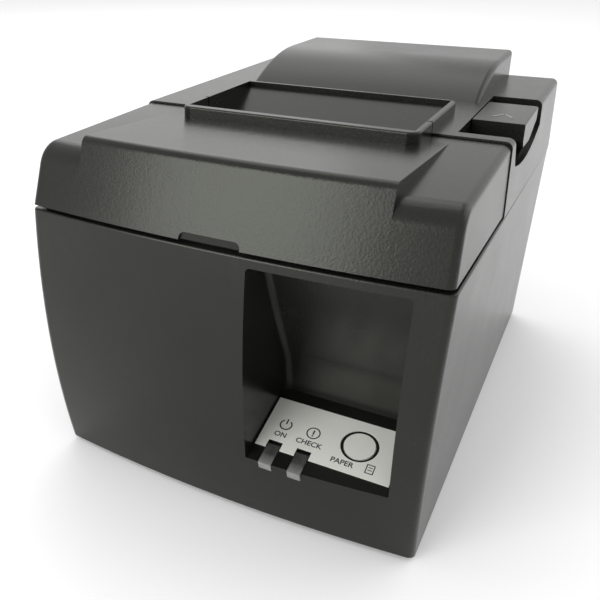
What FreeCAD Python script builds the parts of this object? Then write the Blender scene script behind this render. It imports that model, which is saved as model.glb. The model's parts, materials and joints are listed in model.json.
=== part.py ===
"""A desktop receipt printer: a hinged clamshell case with its paper, print and cutter works inside.

Frame: X to the right as seen from the front, Y to the rear, Z up, millimetres.
The origin lies under the middle of the case, on the surface that the feet stand on.
"""
import FreeCAD, Part
import Sketcher
import math
import os
import re

# A size is a number, or a formula of other sizes.
SIZES = {
    # outside of the case
    "body_width": 142.0,
    "body_depth": 204.0,
    "deck_height": 121.0,
    "dome_rise": 11.0,
    "body_height": "deck_height + dome_rise",
    "base_taper": 7.6,
    "base_width": "body_width - base_taper",
    "deck_taper": 1.6,
    "deck_width": "body_width - deck_taper",
    "side_room": 31.0,
    "paper_width": "body_width - 2 * side_room",
    "wall": 2.5,
    "foot_height": 2.0,
    "plan_radius": 602.0,
    "profile_radius": 294.0,
    "bulge_height": 70.5,
    "corner_round": 2.5,
    "edge_round": 0.7,
    # seam between the lower case and the two covers
    "parting_height": 94.0,
    "parting_slope": 2.78,
    "parting_gap": 1.5,
    "rear_gap": 0.5,
    "mid_seam": -24.0,
    "seam_gap": 0.9,
    "tongue_thick": 0.9,
    "tongue_rise": 2.2,
    # front cover
    "cover_lean": 18.0,
    "cover_setback": 0.6,
    "cover_inset": 0.5,
    "deck_step": 0.8,
    "shoulder_fall": 1.9,
    "shoulder_round": 9.0,
    "crown_rise": 3.9,
    "crown_side": 19.5,
    "crown_start": -32.0,
    "crown_round": 3.0,
    "notch_width": 20.5,
    "notch_height": 2.4,
    "notch_depth": 1.6,
    "notch_round": 2.0,
    # paper exit well
    "rim_side": 4.0,
    "rim_width": "paper_width + 2 * rim_side",
    "rim_front": -42.0,
    "rim_rear": 14.0,
    "rim_rise": 4.0,
    "rim_height": "deck_height + rim_rise",
    "rim_wall": 2.0,
    "rim_round": 4.0,
    "lip_wall": 3.2,
    "lip_depth": 12.0,
    "exit_rise": 13.6,
    "exit_height": "platen_z + exit_rise",
    "exit_half": 4.5,
    # roll dome
    "dome_side": 22.0,
    "dome_width": "body_width - 2 * dome_side",
    "dome_start": 30.0,
    "dome_crest": 71.5,
    "dome_round": 2.0,
    # lever and its recess
    "recess_width": 19.6,
    "recess_inner": "body_width / 2 - recess_width",
    "recess_front": -18.0,
    "recess_rear": 48.0,
    "recess_depth": 17.5,
    "recess_floor": "deck_height - recess_depth",
    "recess_slope": 8.0,
    "scoop_radius": 114.0,
    "scoop_depth": 14.4,
    "scoop_bottom": "deck_height - scoop_depth",
    "scoop_middle": 15.0,
    "lever_front": 4.0,
    "lever_rear": 36.5,
    "lever_gap": 0.4,
    "lever_shy": 0.2,
    "lever_plate": 2.5,
    "lever_tail": -6.0,
    "skirt_depth": 13.4,
    "lever_skirt": "deck_height - skirt_depth",
    "tail_lift": 0.8,
    "tail_rise": 2.0,
    "tail_thick": 1.2,
    "cheek_rear": 5.0,
    "cheek_run": 11.0,
    "cheek_drop": 8.5,
    "cheek_foot": 16.0,
    "cheek_low": 9.0,
    "lever_pivot_y": 16.0,
    "lever_pivot_z": 88.0,
    "lever_shaft_radius": 2.0,
    "hub_radius": 4.4,
    "arm_inset": 11.0,
    "arm_middle": "body_width / 2 - arm_inset",
    "arm_width": 4.0,
    "arm_half": 4.0,
    "arm_toe": 3.5,
    "slot_front": 7.0,
    "slot_rear": 9.0,
    "lug_gap": 5.0,
    "lug_half": 5.0,
    "lug_thick": 2.0,
    "lug_thin": 0.9,
    "spring_wall": 1.4,
    "hook_height": 67.0,
    "hook_thick": 3.0,
    "hook_rise": 1.5,
    "stud_radius": 2.0,
    "stud_reach": 3.0,
    "stud_y": 24.0,
    # control alcove in the lower case
    "alcove_side": 12.4,
    "alcove_right": "body_width / 2 - alcove_side",
    "alcove_width": 46.4,
    "alcove_left": "alcove_right - alcove_width",
    "alcove_lean": 2.0,
    "alcove_lift": 1.0,
    "alcove_top": "parting_height + alcove_lift",
    "alcove_depth": 34.5,
    "alcove_back": "alcove_depth - body_depth / 2",
    "alcove_knee": 46.0,
    "brow_depth": 11.5,
    "alcove_brow": "brow_depth - body_depth / 2",
    "alcove_wall": 2.2,
    "alcove_round": 1.5,
    "bend_round": 3.0,
    "knee_round": 30.0,
    "panel_tilt": 16.0,
    "panel_inset": 3.7,
    "panel_y": "panel_inset - body_depth / 2",
    "panel_z": 26.5,
    # control panel, measured along the panel from its front lip
    "label_gap": 0.6,
    "label_left": "alcove_left + label_gap",
    "label_right": "alcove_right - label_gap - slack",
    "label_front": 6.0,
    "label_rear": 27.0,
    "label_thick": 0.3,
    "button_side": 13.8,
    "button_x": "alcove_right - button_side",
    "button_along": 17.2,
    "button_radius": 5.1,
    "button_ring": 1.1,
    "button_travel": 0.6,
    "button_flange": 1.0,
    "stem_radius": 2.0,
    "guide_width": 4.4,
    "guide_thick": 1.5,
    "guide_proud": 0.4,
    "guide_leg": 1.1,
    "guide_stem": 3.0,
    "guide_side": 6.8,
    "power_guide_x": "alcove_left + guide_side",
    "guide_pitch": 10.0,
    "error_guide_x": "power_guide_x + guide_pitch",
    "guide_rear": 7.6,
    "guide_slot": 9.3,
    "guide_drop": 2.6,
    "board_depth": 7.5,
    "board_parts": 1.4,
    "tact_half": 3.0,
    "tact_gap": 0.2,
    "lamp_half": 1.5,
    "post_radius": 2.0,
    # running and seating clearances
    "fit": 0.06,
    "slack": 0.3,
    # hinge of the rear cover
    "hinge_y": "body_depth / 2 - knuckle_radius",
    "hinge_drop": 1.0,
    "hinge_z": "parting_height - hinge_drop",
    "hinge_pin_radius": 1.25,
    "knuckle_radius": 3.0,
    "knuckle_side": 22.7,
    "knuckle_inner": "body_width / 2 - knuckle_side",
    "knuckle_length": 8.0,
    "ear_length": 4.0,
    # inner frame
    "plate_thick": 1.5,
    "frame_side": 9.2,
    "frame_half": "paper_width / 2 + frame_side",
    "frame_gap": 9.5,
    "frame_front": "alcove_back + frame_gap",
    "frame_rear": -10.0,
    "frame_step": -26.0,
    "frame_low": 88.0,
    "frame_top": 100.0,
    "frame_foot": 14.0,
    # gears and their axles
    "gear_module": 0.8,
    "pinion_teeth": 12.0,
    "idler_teeth": 26.0,
    "platen_teeth": 20.0,
    "cutter_teeth": 20.0,
    "pinion_radius": "gear_module * pinion_teeth / 2",
    "idler_radius": "gear_module * idler_teeth / 2",
    "platen_gear_radius": "gear_module * platen_teeth / 2",
    "cutter_gear_radius": "gear_module * cutter_teeth / 2",
    "gear_thick": 4.6,
    "gear_side": 5.8,
    "gear_plane": "-frame_half - gear_side",
    "gear_shy": 0.15,
    "tooth_root": 0.86,
    "pin_radius": 1.5,
    "axle_depth": 6.0,
    "stop_thick": 1.0,
    # print works
    "platen_y": -20.0,
    "platen_z": 94.0,
    "platen_radius": 7.0,
    "platen_length": "paper_width",
    "platen_shaft_radius": 2.5,
    "shaft_end": 6.0,
    "bush_wall": 1.5,
    "bush_gap": 1.0,
    "bracket_low": 5.5,
    "bracket_half": 5.0,
    "bracket_reach": 20.0,
    "bracket_tip": 4.0,
    "bar_depth": 4.0,
    "bar_rise": 1.0,
    "bar_thick": 3.0,
    "idler_y": -22.0,
    "motor_radius": 13.5,
    "motor_length": 20.0,
    "pinion_turn": 40.0,
    "head_side": 1.0,
    "head_width": "paper_width + 2 * head_side",
    "head_thick": 1.2,
    "head_bottom": 84.0,
    "head_setback": 2.0,
    "head_top": 98.5,
    "head_pivot_y": -36.0,
    "head_pivot_z": 81.0,
    "head_spring_radius": 2.5,
    "sink_thick": 4.0,
    "sink_arm_width": 5.0,
    # cutter works
    "cutter_side": 10.0,
    "cutter_width": "paper_width + 2 * cutter_side",
    "cutter_lead": 22.0,
    "cutter_front": "cutter_gear_y - cutter_lead",
    "cutter_rear": -28.0,
    "rail_width": 3.0,
    "blade_side": 1.0,
    "blade_width": "paper_width + 2 * blade_side",
    "blade_lead": 16.0,
    "blade_front": "cutter_gear_y - blade_lead",
    "blade_rear": -30.0,
    "blade_thick": 1.2,
    "blade_lap": 1.0,
    "blade_travel": 8.0,
    "rack_width": 4.0,
    "rack_setback": 6.0,
    "cutter_gear_setback": 6.0,
    "cutter_gear_y": "frame_front + cutter_gear_setback",
    "cutter_gear_thick": 3.0,
    "cutter_gear_rise": 1.0,
    "can_radius": 4.3,
    "can_length": 22.0,
    # paper bucket
    "roll_radius": 43.0,
    "roll_y": 40.0,
    "roll_z": 58.0,
    "roll_side": 1.7,
    "roll_width": "paper_width + 2 * roll_side",
    "bucket_wall": 2.3,
    "bucket_top": 84.0,
    "leg_half": 20.0,
    "sensor_y": 22.0,
    "sensor_length": 10.0,
    "sensor_thick": 4.0,
    "sensor_height": 6.0,
    # floor of the case and what it stands on
    "floor_thick": 1.5,
    "floor_gap": 0.5,
    "floor_half": "base_width / 2 - wall - floor_gap",
    "floor_setback": 15.5,
    "floor_front": "floor_setback - body_depth / 2",
    "foot_radius": 6.0,
    "foot_inset": 15.2,
    "foot_x": "base_width / 2 - foot_inset",
    "foot_setback": 30.0,
    "foot_front": "foot_setback - body_depth / 2",
    "foot_lead": 26.0,
    "foot_rear": "body_depth / 2 - foot_lead",
    "boss_inset": 9.2,
    "boss_x": "base_width / 2 - boss_inset",
    "boss_setback": 22.0,
    "boss_front": "boss_setback - body_depth / 2",
    "boss_lead": 14.0,
    "boss_rear": "body_depth / 2 - boss_lead",
    "boss_half": 4.0,
    "boss_height": 14.0,
    "boss_roof": 1.0,
    "screw_radius": 1.5,
    "screw_head_radius": 3.0,
    "screw_head": 1.2,
    # main board and power supply
    "board_rise": 4.5,
    "board_thick": 1.6,
    "board_side": 1.0,
    "board_half": "paper_width / 2 - board_side",
    "board_front": -5.0,
    "chip_x": -24.0,
    "chip_y": 78.0,
    "chip_side": 12.0,
    "chip_rise": 2.0,
    "plug_x": 22.0,
    "plug_length": 20.0,
    "plug_setback": 3.0,
    "plug_depth": 5.0,
    "plug_rise": 6.0,
    "standoff_radius": 2.5,
    "supply_side": 3.0,
    "supply_inner": "-roll_width / 2 - bucket_wall - supply_side",
    "supply_front": 20.0,
    "supply_gap": 10.0,
    "supply_rear": "boss_rear - supply_gap",
    "supply_height": 66.0,
    # sockets in the rear wall
    "socket_shy": 0.3,
    "socket_depth": 12.0,
    "inlet_x": -38.0,
    "inlet_width": 28.0,
    "inlet_height": 20.0,
    "inlet_z": 22.0,
    "inlet_reach": 14.0,
    "inlet_wall": 2.0,
    "inlet_pin": 2.0,
    "inlet_pitch": 7.0,
    "inlet_low": 0.5,
    "inlet_drop": 3.0,
    "inlet_setback": 3.0,
    "usb_x": 4.0,
    "usb_half": 6.0,
    "usb_rise": 11.0,
    "usb_reach": 16.0,
    "usb_wall": 1.0,
    "usb_depth": 10.0,
    "usb_tongue": 3.0,
    "jack_x": 26.0,
    "jack_half": 8.0,
    "jack_rise": 13.5,
    "jack_reach": 18.0,
    "jack_wall": 2.0,
    "jack_mouth": 11.0,
    "jack_mouth_rise": 7.0,
    "jack_latch": 5.6,
    "jack_latch_rise": 2.5,
    # cover switch and power switch
    "lid_switch": 5.0,
    "lid_switch_length": 12.0,
    "lid_switch_height": 7.0,
    "lid_switch_setback": 4.0,
    "switch_setback": 37.5,
    "switch_y": "switch_setback - body_depth / 2",
    "switch_z": 28.0,
    "switch_length": 19.0,
    "switch_height": 13.0,
    "switch_proud": 1.6,
    "switch_depth": 14.0,
    "switch_wall": 1.5,
    "pocket_depth": 8.0,
    "rocker_dip": 1.6,
    "rocker_waist": 0.2,
    "rocker_proud": 1.8,
    "rocker_toe": 3.5,
    "rocker_back": 6.0,
    "rocker_heel": 4.5,
    "rocker_taper": 0.8,
    "rocker_pivot": 3.0,
    "trunnion_radius": 1.2,
}

doc = FreeCAD.newDocument("receipt_printer")
dims = doc.addObject("Spreadsheet::Sheet", "dims")
for row, alias in enumerate(SIZES, start=1):
    dims.set(f"A{row}", alias)
    dims.setAlias(f"B{row}", alias)
for row, size in enumerate(SIZES.values(), start=1):
    dims.set(f"B{row}", f"={size}")
doc.recompute()

WORD = re.compile(r"[a-z_]+")
TURN_TO_SIDE = FreeCAD.Rotation(0.5, 0.5, 0.5, 0.5)
UPRIGHT = FreeCAD.Rotation(FreeCAD.Vector(1, 0, 0), 90)
AXES = {
    "x": FreeCAD.Rotation(FreeCAD.Vector(0, 1, 0), 90),
    "y": FreeCAD.Rotation(FreeCAD.Vector(1, 0, 0), -90),
    "z": FreeCAD.Rotation(),
}
TINY = 1e-6
NEAR = 0.5
STEEP = 0.8
ALONG = 0.9
FLAT = 0.2


def linked(expression):
    """Write a size expression so that each named size refers to its cell."""
    text = str(expression)
    return WORD.sub(lambda m: "dims." + m.group() if m.group() in SIZES else m.group(), text)


def value(alias):
    return float(dims.get(alias))


def bind(item, **sizes):
    for name, expression in sizes.items():
        item.setExpression(name.replace("__", "."), linked(expression))
    return item


def place(item, x, y, z):
    item.setExpression("Placement.Base.x", linked(x))
    item.setExpression("Placement.Base.y", linked(y))
    item.setExpression("Placement.Base.z", linked(z))
    return item


def new(kind, name):
    return doc.addObject(kind, name)


def length_of(span):
    return f"({span[1]}) - ({span[0]})"


def around(middle, half):
    """The span that reaches the same distance to both sides of a middle."""
    return (f"{middle} - ({half})", f"{middle} + {half}")


def mirrored_span(side, near, far):
    """The span between two distances from the middle, on the right (1) or the left (-1)."""
    if side > 0:
        return (near, far)
    return (f"-({far})", f"-({near})")


def block(name, x, y, z):
    """A box between the three pairs of expressions."""
    item = new("Part::Box", name)
    bind(item, Length=length_of(x), Width=length_of(y), Height=length_of(z))
    return place(item, x[0], y[0], z[0])


def rod(name, axis, radius, start, length):
    """A cylinder that starts at a point and runs along one axis."""
    item = new("Part::Cylinder", name)
    item.Placement = FreeCAD.Placement(FreeCAD.Vector(), AXES[axis])
    bind(item, Radius=radius, Height=length)
    return place(item, *start)


def taper(name, low, high, half_low, half_high, front, rear):
    """A block whose two sides lean, from one half width at the bottom to another at the top."""
    item = new("Part::Wedge", name)
    item.Placement = FreeCAD.Placement(FreeCAD.Vector(), UPRIGHT)
    bind(item, Xmin=f"-({half_low})", Xmax=half_low, X2min=f"-({half_high})", X2max=half_high,
         Ymin=low, Ymax=high, Zmin=f"-({rear})", Zmax=f"-({front})",
         Z2min=f"-({rear})", Z2max=f"-({front})")
    return item


def outline(name, points):
    """A closed outline of straight sides, each corner held by two sizes."""
    sketch = new("Sketcher::SketchObject", name)
    count = len(points)
    start_circle = value("body_width") / 3
    corners = []
    for i in range(count):
        angle = 2 * math.pi * i / count
        corners.append(FreeCAD.Vector(start_circle * math.cos(angle), start_circle * math.sin(angle), 0))
    for i in range(count):
        sketch.addGeometry(Part.LineSegment(corners[i], corners[(i + 1) % count]), False)
    for i in range(count):
        sketch.addConstraint(Sketcher.Constraint("Coincident", i, 2, (i + 1) % count, 1))
    for i, (across, up) in enumerate(points):
        first = sketch.addConstraint(Sketcher.Constraint("DistanceX", -1, 1, i, 1, 1.0))
        second = sketch.addConstraint(Sketcher.Constraint("DistanceY", -1, 1, i, 1, 1.0))
        sketch.setExpression(f"Constraints[{first}]", linked(across))
        sketch.setExpression(f"Constraints[{second}]", linked(up))
    return sketch


def prism(name, points, span, turn):
    """An outline carried square to its plane between two expressions."""
    sketch = outline(name + "_outline", points)
    sketch.Placement = FreeCAD.Placement(FreeCAD.Vector(), turn)
    item = new("Part::Extrusion", name)
    item.Base = sketch
    item.DirMode = "Normal"
    item.Solid = True
    return bind(item, LengthFwd=span[1], LengthRev=f"-({span[0]})")


def side_prism(name, points, x):
    """An outline in the Y-Z plane carried along X between two expressions."""
    return prism(name, points, x, TURN_TO_SIDE)


def cut(name, base, *tools):
    item = new("Part::Cut", name)
    item.Base = base
    item.Tool = tools[0] if len(tools) == 1 else fuse(name + "_tools", *tools)
    return item


def fuse(name, *shapes):
    item = new("Part::MultiFuse", name)
    item.Shapes = list(shapes)
    return item


def common(name, *shapes):
    item = new("Part::MultiCommon", name)
    item.Shapes = list(shapes)
    return item


def rounded(name, base, *rules):
    """Round edges of a shape: each rule is a size and a test of an edge's middle point and direction."""
    doc.recompute()
    picks = []
    for number, edge in enumerate(base.Shape.Edges, start=1):
        middle = edge.valueAt((edge.FirstParameter + edge.LastParameter) / 2)
        run = edge.Vertexes[-1].Point - edge.Vertexes[0].Point
        if run.Length < TINY:
            continue
        run.normalize()
        for radius, chosen in rules:
            if chosen(middle, run):
                picks.append((number, value(radius), value(radius)))
    if not picks:
        raise RuntimeError(f"{name}: no edge to round")
    item = new("Part::Fillet", name)
    item.Base = base
    item.Edges = picks
    return item


def group(name, shapes):
    """Separate solids that share one node."""
    item = new("Part::Compound", name)
    item.Links = list(shapes)
    return item


nodes = []


def node(item, name):
    item.Label = name
    nodes.append(item)
    return item


FRONT = "-body_depth / 2"
REAR = "body_depth / 2"
FRONT_AXIS = "plan_radius - body_depth / 2"
MID_FRONT = "mid_seam - seam_gap / 2"
MID_REAR = "mid_seam + seam_gap / 2"
FLOOR_TOP = "foot_height + floor_thick"
BOARD_TOP = f"{FLOOR_TOP} + board_rise + board_thick"
BLADE_LOW = "frame_top + plate_thick + slack"
STUD_Z = "hook_height + hook_rise + 2 * stud_radius"
LEVER_TOP = "deck_height - lever_shy"
RECESS_OUTER = "body_width / 2 - 1.3 * wall"
LUGS = (
    ("arm_middle - lug_gap - lug_thick", "arm_middle - lug_gap"),
    ("arm_middle + lug_gap", "arm_middle + lug_gap + lug_thin"),
)
SCREW_ROWS = ("boss_front", "boss_rear")
LIGHT_GUIDES = (("power_guide_x", "power_light_guide"), ("error_guide_x", "error_light_guide"))
IDLER_REACH = "(platen_gear_radius + idler_radius)"
IDLER_Z = f"platen_z - sqrt({IDLER_REACH} * {IDLER_REACH} - (platen_y - idler_y) * (platen_y - idler_y))"
MOTOR_Y = "idler_y - (idler_radius + pinion_radius) * sin(pinion_turn)"
MOTOR_Z = f"{IDLER_Z} - (idler_radius + pinion_radius) * cos(pinion_turn)"


def parting_at(y):
    return f"parting_height - ({y}) * tan(parting_slope)"


def on_seam(point, offset):
    """Tell whether a point lies in the sloping plane of the seam, moved by an offset."""
    slope = math.tan(math.radians(value("parting_slope")))
    return abs(point.z - value("parting_height") - offset + point.y * slope) < value("fit")


def above_seam(name, offset):
    """Everything above the sloping seam, moved up or down by an offset."""
    item = new("Part::Box", name)
    item.Placement = FreeCAD.Placement(FreeCAD.Vector(), FreeCAD.Rotation(FreeCAD.Vector(1, 0, 0), -1))
    bind(item, Length="2 * body_width", Width="2 * body_depth", Height="body_height",
         Placement__Rotation__Angle="-parting_slope")
    return place(item, "-body_width", "-body_depth * cos(parting_slope)",
                 f"parting_height + ({offset}) + body_depth * sin(parting_slope)")


def front_form(name, inset):
    """The bowed front of the lower case, as a ring whose outside is the front face."""
    item = new("Part::Torus", name)
    bind(item, Radius1="plan_radius - profile_radius", Radius2=f"profile_radius - ({inset})")
    return place(item, 0, FRONT_AXIS, "bulge_height")


def slope_form(name, inset):
    """The leaning, bowed front of the front cover, as a cone that starts a little below the seam."""
    item = new("Part::Cone", name)
    start = "4 * wall"
    reach = f"plan_radius - cover_setback - ({inset}) + {start} * tan(cover_lean)"
    bind(item, Radius1=reach, Radius2=f"{reach} - body_height * tan(cover_lean) / 2",
         Height="body_height / 2")
    return place(item, 0, FRONT_AXIS, f"{parting_at(FRONT)} - {start}")


def on_panel(item, across, along, out):
    """Put a piece on the tilted control panel, measured from the panel's front lip."""
    item.Placement = FreeCAD.Placement(FreeCAD.Vector(), FreeCAD.Rotation(FreeCAD.Vector(1, 0, 0), 1))
    bind(item, Placement__Rotation__Angle="panel_tilt")
    return place(item, across,
                 f"panel_y + ({along}) * cos(panel_tilt) - ({out}) * sin(panel_tilt)",
                 f"panel_z + ({along}) * sin(panel_tilt) + ({out}) * cos(panel_tilt)")


def panel_block(name, across, along, out):
    item = new("Part::Box", name)
    bind(item, Length=length_of(across), Width=length_of(along), Height=length_of(out))
    return on_panel(item, across[0], along[0], out[0])


def panel_rod(name, radius, across, along, out):
    item = new("Part::Cylinder", name)
    bind(item, Radius=radius, Height=length_of(out))
    return on_panel(item, across, along, out[0])


def ring_form(name, inset):
    """The plan of the case moved inwards, a little taller than the case and open before the hinge."""
    return common(name, front_form(name + "_front", inset),
                  taper(name + "_sides", "foot_height", f"{parting_at(FRONT)} + 2 * wall",
                        f"base_width / 2 - ({inset})", f"body_width / 2 - ({inset}) + wall / 10",
                        FRONT, "hinge_y - 6 * knuckle_radius"))


def seam_tongue():
    """A thin lip inside the walls that stands up behind the seam and closes the view through it."""
    gap = "wall + cover_inset + 2 * slack"
    core = ring_form("tongue_core", f"{gap} + tongue_thick")
    root = cut("tongue_root", ring_form("tongue_root_ring", "wall / 2"), core,
               above_seam("tongue_root_top", "-parting_gap / 2 - edge_round"))
    lip = cut("tongue_lip", ring_form("tongue_lip_ring", gap), core,
              above_seam("tongue_lip_top", "tongue_rise"))
    return common("tongue", fuse("tongue_parts", root, lip), above_seam("tongue_bottom", "-2 * wall"))


def case_outside():
    """The outside of the tub: leaning sides, a bowed front, and soft edges."""
    tub = common("case_tub", front_form("case_front", 0),
                 taper("case_taper", "foot_height", parting_at(FRONT), "base_width / 2", "body_width / 2",
                       f"{FRONT} - wall", REAR))
    tub = rounded("case_corners", tub, ("corner_round", lambda p, run: abs(run.z) > STEEP))
    tub = cut("case_below_seam", tub, above_seam("case_seam", "-parting_gap / 2"))
    return rounded("case_edges", tub, (
        "edge_round", lambda p, run: on_seam(p, -value("parting_gap") / 2)))


def alcove_forms(outer):
    """The walls of the control alcove inside the tub, and the space that is taken out of them."""
    mouth = f"{FRONT} - wall"
    sill = "panel_z - (body_depth / 2 + wall + panel_y) * tan(panel_tilt)"
    behind = "alcove_back + alcove_wall"
    skin = "alcove_wall / cos(panel_tilt)"
    space_shape = [
        (mouth, sill),
        ("alcove_back", "panel_z + (alcove_back - panel_y) * tan(panel_tilt)"),
        ("alcove_back", "alcove_knee"),
        ("alcove_brow", "alcove_top"),
        (mouth, "alcove_top"),
    ]
    liner_shape = [
        (mouth, f"{sill} - {skin}"),
        (behind, f"panel_z + ({behind} - panel_y) * tan(panel_tilt) - {skin}"),
        (behind, "alcove_knee + alcove_wall / 2"),
        ("alcove_brow + alcove_wall", "alcove_top + alcove_wall"),
        (mouth, "alcove_top + alcove_wall"),
    ]
    liner = common("alcove_liner", outer,
                   side_prism("alcove_block", liner_shape,
                              ("alcove_left - alcove_wall", "alcove_right + alcove_lean + alcove_wall")))
    space = common("alcove_space",
                   side_prism("alcove_prism", space_shape, ("alcove_left", "alcove_right + alcove_lean")),
                   taper("alcove_sides", "panel_z - 2 * wall", "alcove_top + wall", "alcove_right",
                         "alcove_right + alcove_lean", f"{FRONT} - 2 * wall", "alcove_back + wall"))
    space = rounded("alcove_knee_round", space, (
        "knee_round", lambda p, run: abs(run.x) > ALONG and abs(p.z - value("alcove_knee")) < NEAR))
    space = rounded("alcove_bend", space, (
        "bend_round", lambda p, run: abs(run.z) > STEEP and abs(p.y - value("alcove_back")) < NEAR
        and abs(p.x - value("alcove_left")) < NEAR))
    space = rounded("alcove_corners", space, (
        "alcove_round", lambda p, run: abs(run.y) > ALONG and abs(p.z - value("alcove_top")) < NEAR))
    return liner, space


def rear_window(name, x, z):
    """A hole through the rear wall, a little larger than the socket behind it."""
    return block(name, (f"{x[0]} - slack", f"{x[1]} + slack"), (f"{REAR} - 2 * wall", f"{REAR} + wall"),
                 (f"{z[0]} - slack", f"{z[1]} + slack"))


def lower_case():
    """The tub: four leaning walls, the control alcove let into its front, bosses and hinge ears."""
    outer = case_outside()
    inner = common("case_inner", front_form("case_front_inner", "wall"),
                   taper("case_taper_inner", "foot_height - wall", f"{parting_at(FRONT)} + wall",
                         "base_width / 2 - wall", "body_width / 2 - wall", FRONT, f"{REAR} - wall"))
    shell = cut("case_shell", outer, inner)
    liner, space = alcove_forms(outer)
    holes = [space]
    bosses = []
    ears = []
    for side in (1, -1):
        for row in SCREW_ROWS:
            span = mirrored_span(side, "boss_x - 2 * screw_radius", "base_width / 2 - wall / 2")
            bosses.append(block("case_boss", span, around(row, "boss_half"), (FLOOR_TOP, "boss_height")))
            holes.append(rod("boss_hole", "z", "screw_radius + fit", (f"{side} * boss_x", row, "0"),
                             "boss_height - boss_roof"))
        span = mirrored_span(side, "knuckle_inner - slack - ear_length", "knuckle_inner - slack")
        ears.append(rod("ear_round", "x", "knuckle_radius", (span[0], "hinge_y", "hinge_z"), "ear_length"))
        ears.append(block("ear_stem", span, around("hinge_y", "knuckle_radius"),
                          ("hinge_z - 5 * knuckle_radius", "hinge_z")))
    stud_boss = block("stud_boss", ("body_width / 2 - 3 * wall", "base_width / 2 + wall / 2"),
                      around("stud_y", "2 * stud_radius"), around(STUD_Z, "2 * stud_radius"))
    posts = []
    for across in ("label_left + post_radius", "label_right - post_radius"):
        posts.append(panel_rod("board_post", "post_radius", across, "label_rear - 1.5 * post_radius",
                               ("-board_depth", "-alcove_wall / 2")))
    body = fuse("case_body", shell, liner, stud_boss, *bosses, *posts, *ears, seam_tongue())
    holes.append(rod("ear_bore", "x", "hinge_pin_radius", ("-knuckle_inner", "hinge_y", "hinge_z"),
                     "2 * knuckle_inner"))
    holes.append(rod("stud_hole", "x", "stud_radius + fit", ("body_width / 2 - 4 * wall", "stud_y", STUD_Z),
                     "2 * wall"))
    holes.append(panel_rod("button_hole", "button_radius + slack", "button_x", "button_along",
                           ("-2 * alcove_wall", "alcove_wall")))
    for across, name in LIGHT_GUIDES:
        grip = around(across, "(guide_width / 2 + fit)")
        holes.append(panel_block(name + "_bar_cut", grip, ("-4 * wall", "guide_slot"),
                                 ("-guide_thick - fit", "alcove_wall")))
        holes.append(panel_block(name + "_leg_cut", grip, ("-4 * wall", "guide_leg + fit"),
                                 ("-guide_drop - fit", "alcove_wall")))
        holes.append(panel_block(name + "_stem_cut", grip, ("guide_rear - guide_stem - fit",
                                                            "guide_rear + fit"),
                                 ("-2 * alcove_wall", "0")))
    holes.append(rear_window("inlet_cut", around("inlet_x", "inlet_width / 2"),
                             around("inlet_z", "inlet_height / 2")))
    holes.append(rear_window("usb_cut", around("usb_x", "usb_half"), (BOARD_TOP, f"{BOARD_TOP} + usb_rise")))
    holes.append(rear_window("jack_cut", around("jack_x", "jack_half"),
                             (BOARD_TOP, f"{BOARD_TOP} + jack_rise")))
    holes.append(block("switch_cut", ("-body_width", "-base_width / 2 + 2 * wall"),
                       around("switch_y", "switch_length / 2"), around("switch_z", "switch_height / 2")))
    node(cut("lower_case", body, *holes), "lower_case")


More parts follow.
